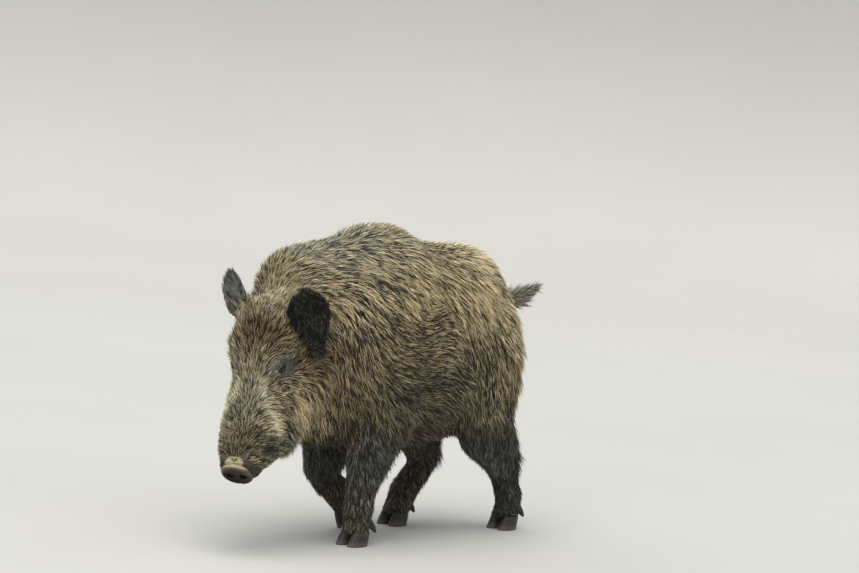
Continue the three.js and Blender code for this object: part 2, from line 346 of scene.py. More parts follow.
# Sizes in mm: how deep the coat lies on the skin, a lock's length and width, and the space between roots.
# lift is in degrees from the skin, pale the share of locks with pale ends, root and end their colours.
FIELDS = ("depth", "length", "width", "space", "lift", "pale", "root", "end")
COAT_ROWS = {
    "trunk": (15, 36, 1.9, 2.65, 21, 0.47, (0.023, 0.020, 0.013), (0.77, 0.62, 0.35)),
    "neck": (15, 34, 1.8, 2.5, 20, 0.47, (0.023, 0.020, 0.013), (0.75, 0.605, 0.345)),
    "head": (8, 21, 1.4, 1.85, 22, 0.45, (0.018, 0.017, 0.012), (0.67, 0.565, 0.345)),
    "ear": (1, 16, 1.1, 1.7, 24, 0.3, (0.009, 0.009, 0.0085), (0.14, 0.135, 0.11)),
    "tail": (7, 38, 2.0, 2.1, 32, 0.55, (0.04, 0.042, 0.038), (0.42, 0.39, 0.29)),
    "foreleg": (7, 26, 1.8, 2.3, 17, 0.34, (0.014, 0.0145, 0.0135), (0.155, 0.145, 0.11)),
    "hindleg": (7, 26, 1.8, 2.3, 17, 0.30, (0.013, 0.0135, 0.0125), (0.135, 0.13, 0.10)),
}
COATS = {kind: dict(zip(FIELDS, row)) for kind, row in COAT_ROWS.items()}


def kind_of(node):
    return node.split("_")[0]


def nearest_nodes(points):
    """For each point, the number in FLESH of the CAD node nearest to it."""
    corners, polygons, owner = [], [], []
    for number, name in enumerate(FLESH):
        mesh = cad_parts[name].data
        start = len(corners)
        corners += [v.co[:] for v in mesh.vertices]
        polygons += [[start + i for i in p.vertices] for p in mesh.polygons]
        owner += [number] * len(mesh.polygons)
    tree = BVHTree.FromPolygons(corners, polygons)
    return np.array([owner[tree.find_nearest(Vector(p))[2]] for p in points])


class Coat:
    """What grows at each point of the skin: each value in COATS, blended over the joins between parts."""

    def __init__(self, skin, nodes):
        self.skin = skin
        self.nodes = nodes
        kinds = np.array([kind_of(name) for name in FLESH])[nodes]
        self.weight = {kind: skin.smoothed((kinds == kind).astype(float), 9) for kind in COATS}
        for field in FIELDS:
            parts = [np.multiply.outer(self.weight[kind], COATS[kind][field]) for kind in COATS]
            setattr(self, field, sum(parts))
        self.legs = self.weight["foreleg"] + self.weight["hindleg"]
        self.trunk_and_neck = self.weight["trunk"] + self.weight["neck"]
        self.head_and_neck = self.weight["head"] + self.weight["neck"]
        self.body, self.head, self.out = to_body(skin.points), to_head(skin.points), skin.normals()

    def touch(self, mask, **fields):
        """Draws fields towards new values where the mask is near 1."""
        for name, value in fields.items():
            now = getattr(self, name)
            share = mask.reshape(-1, *[1] * (now.ndim - 1))
            setattr(self, name, now + share * (value - now))

    def as_on_trunk(self, mask, *fields):
        """Draws fields towards their values on the trunk."""
        self.touch(mask, **{name: COATS["trunk"][name] for name in fields})


def beside(head, side, at, size):
    """near, at a place given for the left side of the head; side is 1 for the left, -1 for the right."""
    return near(head, np.array(at) * [side, 1, 1], size)


def ear_root(name):
    return to_head(middle_of(name)) - 55 * np.array(EAR_TIP[name])


def ear_height(head, name):
    """How far up an ear each point is, in mm from its root."""
    return (head - ear_root(name)) @ EAR_TIP[name]


def below_ear(head, name):
    """1 just below an ear, where the head's hair turns up over the ear's root."""
    return near(head, (ear_root(name) - 34 * np.array(EAR_TIP[name])) * [0.78, 1, 1], (30, 22, 30))


def beard(head):
    """1 under the back of the jaw, where the longest hair of the head hangs."""
    return step(head[:, 2], -55, -100) * step(head[:, 1], -215, -105)


def lashes(head, side):
    """1 along the edge of an upper lid."""
    almond, _, over = almond_distance(head, side)[:3]
    return step(almond, 1.1, 1.25) * step(almond, 1.75, 1.45) * step(over, 0, 3)


def hoof_distance(points):
    """For each point, the way to the middle of the nearest pair of hooves, and how far it is in mm."""
    pairs = [(middle_of(f"hoof_left_{leg}") + middle_of(f"hoof_right_{leg}")) / 2 for leg in LEGS]
    offsets = np.array(pairs) - points[:, None]
    distances = np.linalg.norm(offsets, axis=2)
    nearest = distances.argmin(1)
    rows = np.arange(len(points))
    return unit(offsets[rows, nearest]), distances[rows, nearest] / MM


def shape_coat(coat):
    """The coat's depth and lengths where they differ within a part."""
    shape_body_coat(coat)
    shape_head_coat(coat)
    shape_leg_and_tail_coat(coat)


def shape_body_coat(coat):
    body, out = coat.body, coat.out
    top_of_legs = coat.legs * step(body[:, 2], 0.34, 0.46)
    coat.as_on_trunk(top_of_legs, "depth", "length", "width", "space", "lift")
    trunk = coat.trunk_and_neck + top_of_legs
    back = step(out[:, 2], 0.35, 0.9) * trunk
    coat.touch(back, depth=11, length=36, lift=20)
    mane = back * step(body[:, 1], 0.75, 0.3)
    coat.touch(mane, depth=9, length=30, lift=22, width=1.6, space=2.35)
    hump = near(body, (0, 0.36, 0.97), (1, 0.09, 0.12)) * trunk
    coat.touch(hump, depth=-2)
    underside = step(-out[:, 2], 0.3, 0.9) * trunk
    coat.touch(underside, depth=15, length=38, width=2.6, space=3.2, lift=24)
    flank = near(body[:, 1:], (0.32, 0.62), (0.28, 0.12)) * trunk
    coat.touch(flank, length=27, width=1.6, space=2.4, lift=17)


def shape_head_coat(coat):
    head, face = coat.head, coat.weight["head"]
    y, z = head[:, 1], head[:, 2]
    crown = step(y, -20, 110) * face
    coat.touch(crown, depth=14, length=26, width=1.5, space=2.0, lift=28)
    forelock = near(head, (0, 45, 65), (75, 45, 55)) * face
    coat.touch(forelock, depth=14, length=26, width=1.5, lift=46)
    far_brow = near(head, (-78, 36, 22), (30, 30, 40)) * face
    coat.touch(far_brow, depth=12, length=34, lift=50)
    nape = near(head, (0, 150, 50), (95, 52, 60)) * coat.head_and_neck
    coat.touch(nape, depth=11, length=23, width=1.4, space=2.0, lift=18)
    jowl = step(z, -5, -70) * step(y, -150, -70) * face
    coat.touch(jowl, depth=13, length=30, lift=21, width=1.6, space=2.0)
    snout = step(y, -120, -190) * face
    coat.touch(snout, depth=7, length=15, width=1.15, space=1.65, lift=27)
    coat.touch(beard(head) * face, depth=8, length=40, lift=36, width=1.7)
    snout_end = step(y, -222, -243) * face
    coat.touch(snout_end, depth=2.5, length=8, width=1.0, space=1.3, lift=24)
    for name in EAR_TIP:
        opening = ear_root(name) + 20 * np.array(EAR_OPENS[name])
        before_ear = step(np.linalg.norm(head - opening, axis=1), 62, 34) * face
        coat.touch(before_ear, depth=13, length=15, lift=15)
        coat.touch(below_ear(head, name) * coat.head_and_neck, length=31, lift=33)
        ear_base = step(ear_height(head, name), 6, -8) * coat.weight["ear"]
        coat.touch(ear_base, length=19, lift=34, space=1.4)
    for side in (1, -1):
        round_eye = step(np.linalg.norm(head - eye_at(side), axis=1), 32, 16) * face
        coat.touch(round_eye, depth=4, length=7, width=1.0, space=1.2, lift=14)
        lid = step(almond_distance(head, side)[0], 2.0, 1.5) * face
        coat.touch(lid, length=4, width=0.8, lift=10)
        coat.touch(lashes(head, side) * face, length=9, width=0.9, space=1.0, lift=38)
        ruff = beside(head, side, RUFF, (50, 45, 45)) * coat.head_and_neck
        coat.touch(ruff, length=38, lift=27)
        temple = beside(head, side, (90, 36, 0), (18, 20, 24)) * face
        coat.touch(temple, length=29, lift=40)
        below_eye = beside(head, side, (50, -52, -8), (22, 26, 16)) * face
        coat.touch(below_eye, depth=9, length=11, lift=16)


def shape_leg_and_tail_coat(coat):
    legs, up, out = coat.legs, coat.body[:, 2], coat.out
    coat.touch(legs * step(up, 0.16, 0.1), length=17, width=1.5, space=1.9)
    feather = legs * step(out[:, 1], 0.1, 0.8) * step(up, 0.16, 0.28)
    coat.touch(feather, depth=11, length=46, lift=24)
    tail_tip = step(coat.skin.points[:, 1], 0.46, 0.52) * coat.weight["tail"]
    coat.touch(tail_tip, lift=20)
    towards_hoof, to_hoof = hoof_distance(coat.skin.points)
    coat.touch(step(to_hoof, 80, 55) * legs, depth=7, length=15, lift=12, space=1.7)
    end_of_leg = step((out * towards_hoof).sum(1), 0.45, 0.75) * (to_hoof < 60) * legs
    coat.touch(end_of_leg, depth=-4)


# The markings on both sides of the head, in the order they are laid: place and size, given for the left side,
# and what grows there.
CHEEK_MARKS = (
    # cheek
    ((80, -45, -70), (50, 45, 60), {"end": (0.88, 0.70, 0.39), "pale": 0.62}),
    # jowl
    ((80, -40, -140), (50, 70, 40), {"end": (0.78, 0.65, 0.39), "pale": 0.58}),
    # below the ear
    ((98, 40, -45), (40, 34, 50), {"end": (0.40, 0.25, 0.12), "pale": 0.48}),
    # temple
    ((88, 38, 8), (26, 22, 20), {"end": (0.48, 0.38, 0.20), "pale": 0.6}),
    # before the eye
    ((42, -44, 20), (16, 30, 16), {"end": (0.42, 0.39, 0.30), "pale": 0.62}),
    # below the eye, on the jowl: dark ends, painted shade that rounds the jowl
    ((73, -68, -52), (20, 24, 24), {"end": (0.36, 0.29, 0.17), "root": (0.013, 0.012, 0.009), "pale": 0.4}),
)
STRIPE = {"end": (0.98, 0.89, 0.62), "root": (0.08, 0.07, 0.05), "pale": 1}
STRIPE_MARKS = (  # from before the eye to the corner of the mouth
    ((24, -76, 19), (9, 15, 9), STRIPE),
    ((31, -92, 14), (11, 15, 11), STRIPE),
    ((40, -110, 7), (12, 15, 12), STRIPE),
    ((52, -126, -6), (14, 15, 14), STRIPE),
    ((62, -139, -24), (15, 15, 15), STRIPE),
    ((69, -148, -44), (15, 15, 15), STRIPE),
)
MOUTH_MARKS = (
    # corner of the mouth
    ((76, -146, -88), (26, 34, 26), {"end": (0.22, 0.22, 0.17), "root": (0.012, 0.013, 0.012)}),
    # lip
    ((66, -190, -44), (22, 22, 24), {"end": (0.07, 0.08, 0.07), "root": (0.009, 0.011, 0.011), "pale": 0.3}),
    # lower jaw
    ((80, -100, -112), (40, 26, 22), {"end": (0.34, 0.32, 0.23), "root": (0.014, 0.014, 0.012), "pale": 0.5}),
)
RUFF = (95, -32, -178)  # where the jowl hangs over the throat


def mark_coat(coat):
    """The markings: the colours of the locks and the share with pale ends."""
    mark_body(coat)
    mark_head(coat)
    mark_shins_and_far_ear(coat)


def mark_body(coat):
    body, out = coat.body, coat.out
    along, up = body[:, 1], body[:, 2]
    top_of_legs = coat.legs * step(up, 0.34, 0.54)
    coat.as_on_trunk(top_of_legs, "root", "end", "pale")
    middle_of_legs = coat.legs * step(up, 0.42, 0.3) * step(up, 0.16, 0.24)
    coat.touch(middle_of_legs, end=(0.20, 0.20, 0.16), pale=0.42)
    trunk = coat.trunk_and_neck + top_of_legs
    hind_back = trunk * step(out[:, 2], 0.1, 0.85) * step(along, 0.6, 0.1)
    coat.touch(hind_back, end=(0.62, 0.55, 0.37), pale=0.58)
    # Pale ends on the croup: partly its own pale tips, partly a painted highlight where the rump faces the
    # sky.
    croup_tips_and_highlight = trunk * near(body, (0.3, 0.92, 0.92), (0.9, 0.22, 0.12))
    coat.touch(croup_tips_and_highlight, end=(0.88, 0.77, 0.50), pale=0.74)
    # Painted shade: the coat that faces down gets dark ends and roots.
    underside = trunk * step(-out[:, 2], 0.0, 0.7)
    coat.touch(underside, end=(0.19, 0.125, 0.07), root=(0.014, 0.012, 0.010), pale=0.34)
    coat.touch(trunk * step(up, 0.78, 0.60), end=(0.56, 0.46, 0.27), pale=0.38)
    coat.touch(trunk * step(up, 0.54, 0.36), end=(0.24, 0.165, 0.095), pale=0.38)
    withers = trunk * near(body, (0, 0.02, 0.93), (3, 0.2, 0.09))
    coat.touch(withers, root=(0.028, 0.031, 0.029), pale=0.49)
    mottle = np.clip(noise_at(coat.skin.points, 11), -0.5, 0.5)
    coat.pale = coat.pale + trunk * 0.22 * mottle
    chest = near(body, (0, -0.08, 0.55), (3, 0.12, 0.16)) * trunk
    coat.touch(chest, end=(0.44, 0.30, 0.155), pale=0.44)
    rump = trunk * near(body[:, 1:], (0.88, 0.65), (0.12, 0.13))
    coat.touch(rump, end=(0.84, 0.68, 0.41), pale=0.54)
    # Painted shadow: a dark band on the trunk above the foreleg, under the bulge of the shoulder.
    shoulder_shadow = trunk * near(body[:, 1:], (0.29, 0.50), (0.18, 0.06))
    coat.touch(shoulder_shadow, end=(0.19, 0.16, 0.105), root=(0.014, 0.012, 0.009), pale=0.36)
    # Painted shade: the throat and the bottom of the chest, made nearly black.
    throat = trunk * step(up, 0.39, 0.33) * step(along, 0.22, 0.1)
    coat.touch(throat, end=(0.11, 0.08, 0.052), root=(0.009, 0.008, 0.007))


def mark_head(coat):
    head, face = coat.head, coat.weight["head"]
    forehead = face * near(head, (0, 40, 65), (85, 42, 70))
    coat.touch(forehead, end=(0.36, 0.27, 0.145), root=(0.014, 0.010, 0.007), pale=0.46)
    crown = coat.head_and_neck * near(head, (0, 150, 50), (120, 60, 70))
    coat.touch(crown, end=(0.60, 0.52, 0.33), root=(0.04, 0.036, 0.024), pale=0.7)
    before_far_ear = face * near(head, (-75, 88, 40), (26, 26, 26))
    coat.touch(before_far_ear, end=(0.62, 0.56, 0.40), length=34, pale=0.75)
    bridge = face * near(head, (0, -100, 12), (42, 60, 40))
    coat.touch(bridge, end=(0.44, 0.41, 0.30), pale=0.6)
    snout = face * near(head, (10, -205, -10), (60, 36, 40))
    coat.touch(snout, end=(0.40, 0.33, 0.20), root=(0.012, 0.010, 0.006), pale=0.4)
    snout_end = face * step(head[:, 1], -232, -243)
    coat.touch(snout_end, end=(0.24, 0.19, 0.12), root=(0.013, 0.011, 0.008))
    for side in (1, -1):
        for at, size, fields in CHEEK_MARKS + STRIPE_MARKS + MOUTH_MARKS:
            coat.touch(face * beside(head, side, at, size), **fields)
        ruff = coat.head_and_neck * beside(head, side, RUFF, (50, 48, 50))
        coat.touch(ruff, end=(0.70, 0.57, 0.34), root=(0.018, 0.016, 0.011), pale=0.55)
        round_eye = face * step(np.linalg.norm(head - eye_at(side), axis=1), 36, 20)
        coat.touch(round_eye, end=(0.36, 0.345, 0.265), root=(0.055, 0.053, 0.043), pale=0.6)
        coat.touch(lashes(head, side) * face, end=(0.016, 0.015, 0.014), root=(0.010, 0.010, 0.010))


def mark_shins_and_far_ear(coat):
    weight, up = coat.weight, coat.body[:, 2]
    # Painted light: the far ear made paler and greyer than the near one.
    lit_far_ear = weight["ear"] * (coat.nodes == FLESH.index("ear_right"))
    coat.touch(lit_far_ear, end=(0.38, 0.385, 0.33), root=(0.045, 0.046, 0.042), pale=0.6)
    far_shin = weight["hindleg"] * (coat.nodes == FLESH.index("hindleg_right")) * step(up, 0.34, 0.2)
    coat.touch(far_shin, end=(0.25, 0.20, 0.14), root=(0.019, 0.018, 0.015), pale=0.38)
    fore_shin = weight["foreleg"] * step(up, 0.26, 0.15)
    coat.touch(fore_shin, end=(0.26, 0.215, 0.145), pale=0.36)


# Degrees by which the coat of the sides falls as it goes back, at places along and up the body as to_body
# gives them.
FALLS = {
    (-0.20, 0.80): 10, (0.00, 0.84): 22, (0.12, 0.86): 50, (0.30, 0.80): 64, (0.46, 0.80): 64,
    (0.65, 0.80): 68, (-0.10, 0.68): 50, (0.02, 0.75): 55, (0.03, 0.62): 70, (0.09, 0.72): 35,
    (0.16, 0.68): 22, (0.20, 0.58): 18, (0.30, 0.65): -2, (0.36, 0.73): -20, (0.39, 0.66): -22,
    (0.46, 0.69): 25, (0.57, 0.71): 66, (0.62, 0.64): 84, (0.77, 0.69): 72, (0.77, 0.53): 75,
    (0.38, 0.55): 5, (0.55, 0.55): 40, (0.50, 0.92): 62, (0.85, 0.90): 50, (0.95, 0.80): 46,
    (1.00, 0.60): 70, (0.10, 0.50): 55,
}  # fmt: skip
FALL_REACH = 0.03  # how near its own place a fall holds alone


def fall(along, up):
    """The fall at any place, in degrees, from those at the places near it."""
    away = sum((here[:, None] - np.array(there)) ** 2 for here, there in zip((along, up), zip(*FALLS)))
    share = 1 / (away + FALL_REACH**2) ** 2
    return share @ np.array(list(FALLS.values())) / share.sum(1)


def coat_lie(coat):
    """The way the coat lies at each point, along the skin."""
    skin, body, head, out = coat.skin, coat.body, coat.head, coat.out
    across = (out @ HEAD_AXES)[:, 0]
    x, y, z = head.T
    none, ones = np.zeros(len(head)), np.ones(len(head))
    snout = step(y, -30, -90)
    jowl = step(z, 15, -50) * step(y, -150, -90)
    fan = (0.4 + 1.1 * snout) * across + (0.2 + 0.4 * snout) * np.clip(x / 45, -1, 1)
    backward = 1 - 0.65 * jowl * step(y, 30, -20)
    on_head = np.column_stack((fan, backward, -0.75 * np.abs(across) - 0.7 * jowl)) @ HEAD_AXES.T
    on_head = unit(on_head) + 1.6 * beard(head)[:, None] * [0, 0, -1]
    angle = np.radians(fall(body[:, 1], body[:, 2]))
    top = step(out[:, 2], 0.55, 0.95) * step(np.abs(out[:, 0]), 0.6, 0.2)
    nape = near(head, (0, 150, 60), (110, 90, 80))
    on_side = np.column_stack((none, np.cos(angle), -np.sin(angle) * (1 - top) + 0.3 * top))
    ways = {
        "trunk": on_side,
        "neck": on_side + nape[:, None] * [0, 0, 0.9],
        "head": on_head,
        "tail": np.column_stack((none, ones, 0.25 * ones)),
        "foreleg": np.column_stack((none, 0.22 + 0.5 * step(body[:, 2], 0.2, 0.34), -ones)),
        "hindleg": np.column_stack((none, 0.25 * ones, -ones)),
    }
    thigh = step(body[:, 2], 0.36, 0.54)[:, None]
    for leg in ("foreleg", "hindleg"):
        ways[leg] = unit(ways[leg]) * (1 - thigh) + unit(ways["trunk"]) * thigh
    for name, tip in EAR_TIP.items():  # up the ear, turning by degrees to hang down at its root
        turned = math.pi * step(ear_height(head, name), 8, -12)
        sideways = np.cross(tip, EAR_OPENS[name])
        ways[name] = (np.outer(np.cos(turned), tip) + np.outer(np.sin(turned), sideways)) @ HEAD_AXES.T
    way = np.zeros_like(skin.points)
    for number, name in enumerate(FLESH):
        here = coat.nodes == number
        way[here] = unit(ways.get(name, ways.get(kind_of(name))))[here]
    for name, tip in EAR_TIP.items():
        around = below_ear(head, name) * (1 - coat.weight["ear"])
        way += 3 * np.outer(around, HEAD_AXES @ tip)
    swirl = noise_at(skin.points, 7, noise.noise_vector)
    swirl += 0.6 * noise_at(skin.points, 22, noise.noise_vector)
    way = way + 0.35 * swirl * (1 - coat.weight["ear"] - 0.3 * coat.weight["head"])[:, None]
    for _ in range(3):
        way = unit(way - (way * out).sum(1)[:, None] * out)
        way = skin.smoothed(way, 4)
    return unit(way - (way * out).sum(1)[:, None] * out)


# ---------------- skin


def subdivide(mesh, near_points, reach):
    """Halves the edges that lie within reach of any of some points."""
    work = bmesh.new()
    work.from_mesh(mesh)
    close = np.zeros(len(mesh.vertices), bool)
    points = read(mesh.vertices, "co", 3)
    for centre in near_points:
        close |= np.linalg.norm(points - centre, axis=1) < reach
    edges = [e for e in work.edges if close[e.verts[0].index] and close[e.verts[1].index]]
    bmesh.ops.subdivide_edges(work, edges=edges, cuts=1, use_grid_fill=True)
    work.to_mesh(mesh)
    work.free()
    return mesh


def sink(skin, coat):
    """Moves the skin in from the tips of the coat, a little at a time."""
    depth = skin.smoothed(coat.depth, 6) * MM + 0.001
    ears = coat.weight["ear"]
    for _ in range(8):
        skin.points = skin.points - skin.normals() * (depth / 8)[:, None]
        skin.points = skin.smoothed(skin.points, 1, 0.3 * (1 - 0.8 * ears)[:, None])


def build_skin():
    """The flesh as one skin, under its coat, with finer meshes on the face, the eyes and the saddle."""
    grow = {"rest": 0.0012, "ear_left": 0.0028, "ear_right": 0.0028}
    mesh = voxelled(FLESH, size=0.0058, grow=grow)
    skin = Surface(mesh)
    # The facets are smoothed away, hardly on the ears and most on the nape.
    ears = np.isin(nearest_nodes(skin.points), [FLESH.index(n) for n in EAR_TIP])
    keep = skin.smoothed(ears.astype(float), 3)
    skin.points = skin.smoothed(skin.points, 10, 0.5 * (1 - 0.85 * keep)[:, None])
    nape = near(to_head(skin.points), (0, 125, 45), (130, 60, 80)) * (1 - keep)
    skin.points = skin.smoothed(skin.points, 150, 0.5 * nape[:, None])
    coat = Coat(skin, nearest_nodes(skin.points))
    shape_coat(coat)
    coat.touch(coat.weight["ear"], depth=2.8)  # what the ears were grown by, in mm
    sink(skin, coat)
    skin.store()
    face = from_head(np.array([[0, -60, -50], [0, -150, -60], [0, -215, -55]]))
    eyes = [from_head(eye_at(side)) for side in (1, -1)]
    mesh = subdivide(mesh, face, 0.105)
    mesh = subdivide(mesh, eyes, 0.036)
    mesh = subdivide(mesh, eyes, 0.025)
    mesh = subdivide(mesh, [from_head(SADDLE)], 0.036)
    return Surface(mesh)


LID = 1.6  # how far the lids stand over the eyeball
OPENING = (10.5, 5.2)  # half the length and half the height of the almond that they leave open
MOUTH = ((-246, -80), (-215, -86), (-180, -93), (-140, -98), (-105, -97))  # its line, as y and z


def almond_distance(head, side):
    """1 on the edge of an eye's opening, less inside it and more outside, 9 far away.

    With it go the places back along the slit, over it and out of the head, and the way out of the head.
    """
    out = unit(GAZE * [side, 1, 1])
    over = unit(np.cross(out, SLIT * [side, 1, 1])) * side
    along = np.cross(over, out) * side
    u, v, w = ((head - eye_at(side)) @ axis for axis in (along, over, out))
    height = OPENING[1] * (1 - 0.25 * (u / OPENING[0]) ** 2)
    away = np.sqrt((u / OPENING[0]) ** 2 + (v / height) ** 2)
    return np.where(np.hypot(u, v) < 40, away, 9), u, v, w, out


def sculpt_eye(head, side):
    """Lids round the eyeball, with a crease over them and folds under them."""
    almond, u, v, w, out = almond_distance(head, side)
    away = np.hypot(u, v)
    ball = np.sqrt(np.maximum((EYE_RADIUS + LID) ** 2 - away**2, 0))
    lid = ball * step(away, 15, 9) + w * step(away, 9, 15)
    fold = 1.2 * bell(almond, 1.3, 0.16)
    for place, depth in ((1.75, 1.5), (2.35, 1.0), (2.95, 0.8)):
        fold -= depth * bell(almond, place, 0.13) * step(v, 9, 3)
    fold += 2.6 * np.exp(-(((v - 13) / 4.5) ** 2) - (u / 13) ** 2)
    target = np.maximum(w, lid) + fold * step(away, 24, 16)
    target = np.where(almond < 1.12, target - 9 * step(almond, 1.12, 0.9), target)
    reach = (w > -8) & (away < 26)
    return head + np.where(reach, target - w, 0)[:, None] * out


def sculpt_mouth(head):
    """The line of the closed mouth, and a lower jaw narrower and shorter than the snout."""
    y, z = head[:, 1], head[:, 2]
    path = np.array(MOUTH, float)
    gap = np.full(len(head), 1e3)
    for a, b in zip(path, path[1:]):
        t = np.clip(((head[:, 1:] - a) @ (b - a)) / ((b - a) @ (b - a)), 0, 1)
        gap = np.minimum(gap, np.linalg.norm(head[:, 1:] - a - t[:, None] * (b - a), axis=1))
    line = np.interp(y, path[:, 0], path[:, 1])
    below = step(line - z, 0, 7) * step(y, -95, -130) * step(z, -200, -150)
    moved = head.copy()
    moved[:, 0] *= 1 - 0.13 * below - 0.10 * bell(gap, 0, 3.2) * (y < -100)
    moved[:, 1] += 13 * below * step(y, -200, -240)
    moved[:, 0] *= 1 + 0.05 * bell(line + 9 - z, 0, 7) * step(y, -100, -160)
    return moved


def saddle(head):
    """1 on the bare fold of skin behind the disc."""
    return step(near(head, SADDLE, (30, 19, 25)), 0.35, 0.6)


def saddle_creases(head):
    """1 in the creases of the saddle: a V between its two swellings, and fainter lines across it."""
    from_middle = np.abs(head[:, 0])
    notch = bell(head[:, 1] - 0.8 * from_middle, -239, 2.2) * step(from_middle, 10, 5)
    lines = np.clip(np.sin(head[:, 1] * 2 * math.pi / 5), 0, 1)
    return np.clip(notch + 0.3 * lines, 0, 1)


def sculpt_snout(head):
    """Folds across the snout behind the nose disc, its saddle, and an end that meets the disc."""
    y, z = head[:, 1], head[:, 2]
    ridges = np.sin((y + 240) * 2 * math.pi / 8) * bell(y, -228, 11)
    top = step(z, -50, -20)
    swelling = near(np.abs(head), (12, 241, 14), (11, 13, 20))
    moved = head.copy()
    moved[:, 2] += (1.3 * ridges + 6 * swelling - 3 * saddle_creases(head) * saddle(head)) * top
    end = step(y, -224, -243) * step(z, -96, -80)
    moved[:, 1] -= 8 * end
    moved[:, 0] *= 1 + 0.09 * end
    moved[:, 2] += 0.09 * end * (z - NOSE[2])
    return moved


def sculpt_face(skin):
    """The face's own shapes; points far behind it stay as they are."""
    head = to_head(skin.points)
    near_head = np.abs(head[:, 1] + 100) < 175
    moved = sculpt_snout(sculpt_mouth(head))
    for side in (1, -1):
        moved = sculpt_eye(moved, side)
    skin.points[near_head] = from_head(moved)[near_head]


def unwrap(skin_object):
    """Unwraps the skin; each lock's own place on the map lies where its root does."""
    skin_object.data.uv_layers.new(name="OFBake")
    bpy.context.view_layer.objects.active = skin_object
    bpy.ops.object.select_all(action="DESELECT")
    skin_object.select_set(True)
    bpy.ops.object.mode_set(mode="EDIT")
    bpy.ops.mesh.select_all(action="SELECT")
    bpy.ops.uv.smart_project(angle_limit=math.radians(66), island_margin=0.001)
    bpy.ops.object.mode_set(mode="OBJECT")


# ---------------- locks of hair

PATCH = 0.003  # the size of a lock's own place on the map
MOST_TRIANGLES = 190_000  # in one piece
SHORT, LONG = 12, 56  # mm: up to the first a lock is one straight piece, up to the second two, then three
UNDERCOAT = 0.22  # the share of locks that are short and dark


def coat_amount(coat):
    """How much of the coat grows at each point: none on the lids' edges, on the saddle or under the disc."""
    grows = np.ones(len(coat.head))
    for side in (1, -1):
        grows *= step(almond_distance(coat.head, side)[0], 1.12, 1.35)
    grows *= 1 - step(coat.head[:, 1], -246, -250) * coat.weight["head"]
    return grows * (1 - saddle(coat.head))


def plant(coat, way, patches, amount):
    """Roots spread over the skin, as close together as the coat's space says, each with what grows there."""
    skin = coat.skin
    a, b, c = (skin.points[skin.triangles[:, k]] for k in range(3))
    area = np.linalg.norm(np.cross(b - a, c - a), axis=1) / 2
    space = (coat.space * MM)[skin.triangles].mean(1)
    total = np.cumsum(area * amount[skin.triangles].mean(1) / space**2)
    counts = np.diff(np.floor(total + random.random()), prepend=0).astype(int)
    face = random.permutation(np.repeat(np.arange(len(area)), counts))
    share = random.random((len(face), 2))
    share = np.where(share.sum(1, keepdims=True) > 1, 1 - share, share)
    share = np.column_stack((1 - share.sum(1), share))

    def at_root(values):
        return np.einsum("nk,nk...->n...", share, values[skin.triangles[face]])

    roots = {"at": at_root(skin.points), "out": unit(at_root(coat.out)), "way": unit(at_root(way))}
    roots["patch"] = np.einsum("nk,nkj->nj", share, patches[face])
    for field in FIELDS:
        roots[field] = at_root(getattr(coat, field))
    return roots


def grooves(points):
    """-0.5 to 0.5 in long narrow bands that run the way the coat of the sides lies."""
    along = np.linspace(-0.5, 1.3, 200)
    slope = np.tan(np.radians(fall(along, np.full(200, 0.82))))
    drop = np.cumsum(slope) * (along[1] - along[0]) * (TRUNK[1][1] - TRUNK[0][1])
    body = to_body(points)
    level = points[:, 2] + np.interp(body[:, 1], along, drop)
    places = np.column_stack((points[:, 0] * 20, points[:, 1] * 16, level * 130))
    deep = 0.4 + 0.6 * step(body[:, 2], 0.68, 0.76)
    return deep * np.clip(noise_at(places), -0.5, 0.5)


def clump(roots, every=4, pull=0.6):
    """Draws the ends of neighbouring locks together, and varies turn, size and shade by clump and by lock."""
    count = len(roots["at"])
    leads = random.permutation(count)[: count // every + 1]
    tree = kdtree.KDTree(len(leads))
    for number, lead in enumerate(leads):
        tree.insert(roots["at"][lead], number)
    tree.balance()
    group = np.array([tree.find(p)[1] for p in roots["at"]])

    def varied(by_clump, by_lock):
        return random.normal(0, by_clump, len(leads))[group] + random.normal(0, by_lock, count)

    roots["pull"] = pull * (roots["at"][leads[group]] - roots["at"])
    turn = varied(0.12, 0.12)[:, None]
    roots["way"] = roots["way"] * np.cos(turn) + np.cross(roots["out"], roots["way"]) * np.sin(turn)
    roots["length"] = roots["length"] * np.exp(np.clip(varied(0.10, 0.14), -0.5, 0.25))
    roots["lift"] = roots["lift"] * np.exp(np.clip(varied(0.16, 0.16), -0.5, 0.3))
    band = grooves(roots["at"]) * (roots["length"] > SHORT)  # locks stand up and turn pale in bands
    draw = 0.22 * random.random(len(leads))[group] + 0.78 * random.random(count) - 0.7 * band
    roots["lift"] = roots["lift"] * (1 + 0.7 * band)
    pale = (draw < roots["pale"])[:, None]
    under = (random.random(count) < UNDERCOAT)[:, None]
    roots["length"] = np.where(under[:, 0], 0.6, 1) * roots["length"]
    warmth = varied(0.07, 0.06)[:, None] * [0.5, 0, -1.0]
    end = roots["end"] * np.exp(varied(0.14, 0.18)[:, None] + warmth)
    dark = roots["root"] * 1.2 + 0.03 * end
    roots["end"] = np.where(pale & ~under, end, dark)
    shares = random.uniform(0.45, 1, (count, 1))
    roots["middle"] = roots["root"] + (roots["end"] - roots["root"]) * shares
    # Painted shade: the roots are darkened further, deep in the coat.
    roots["root"] = 0.5 * roots["root"]


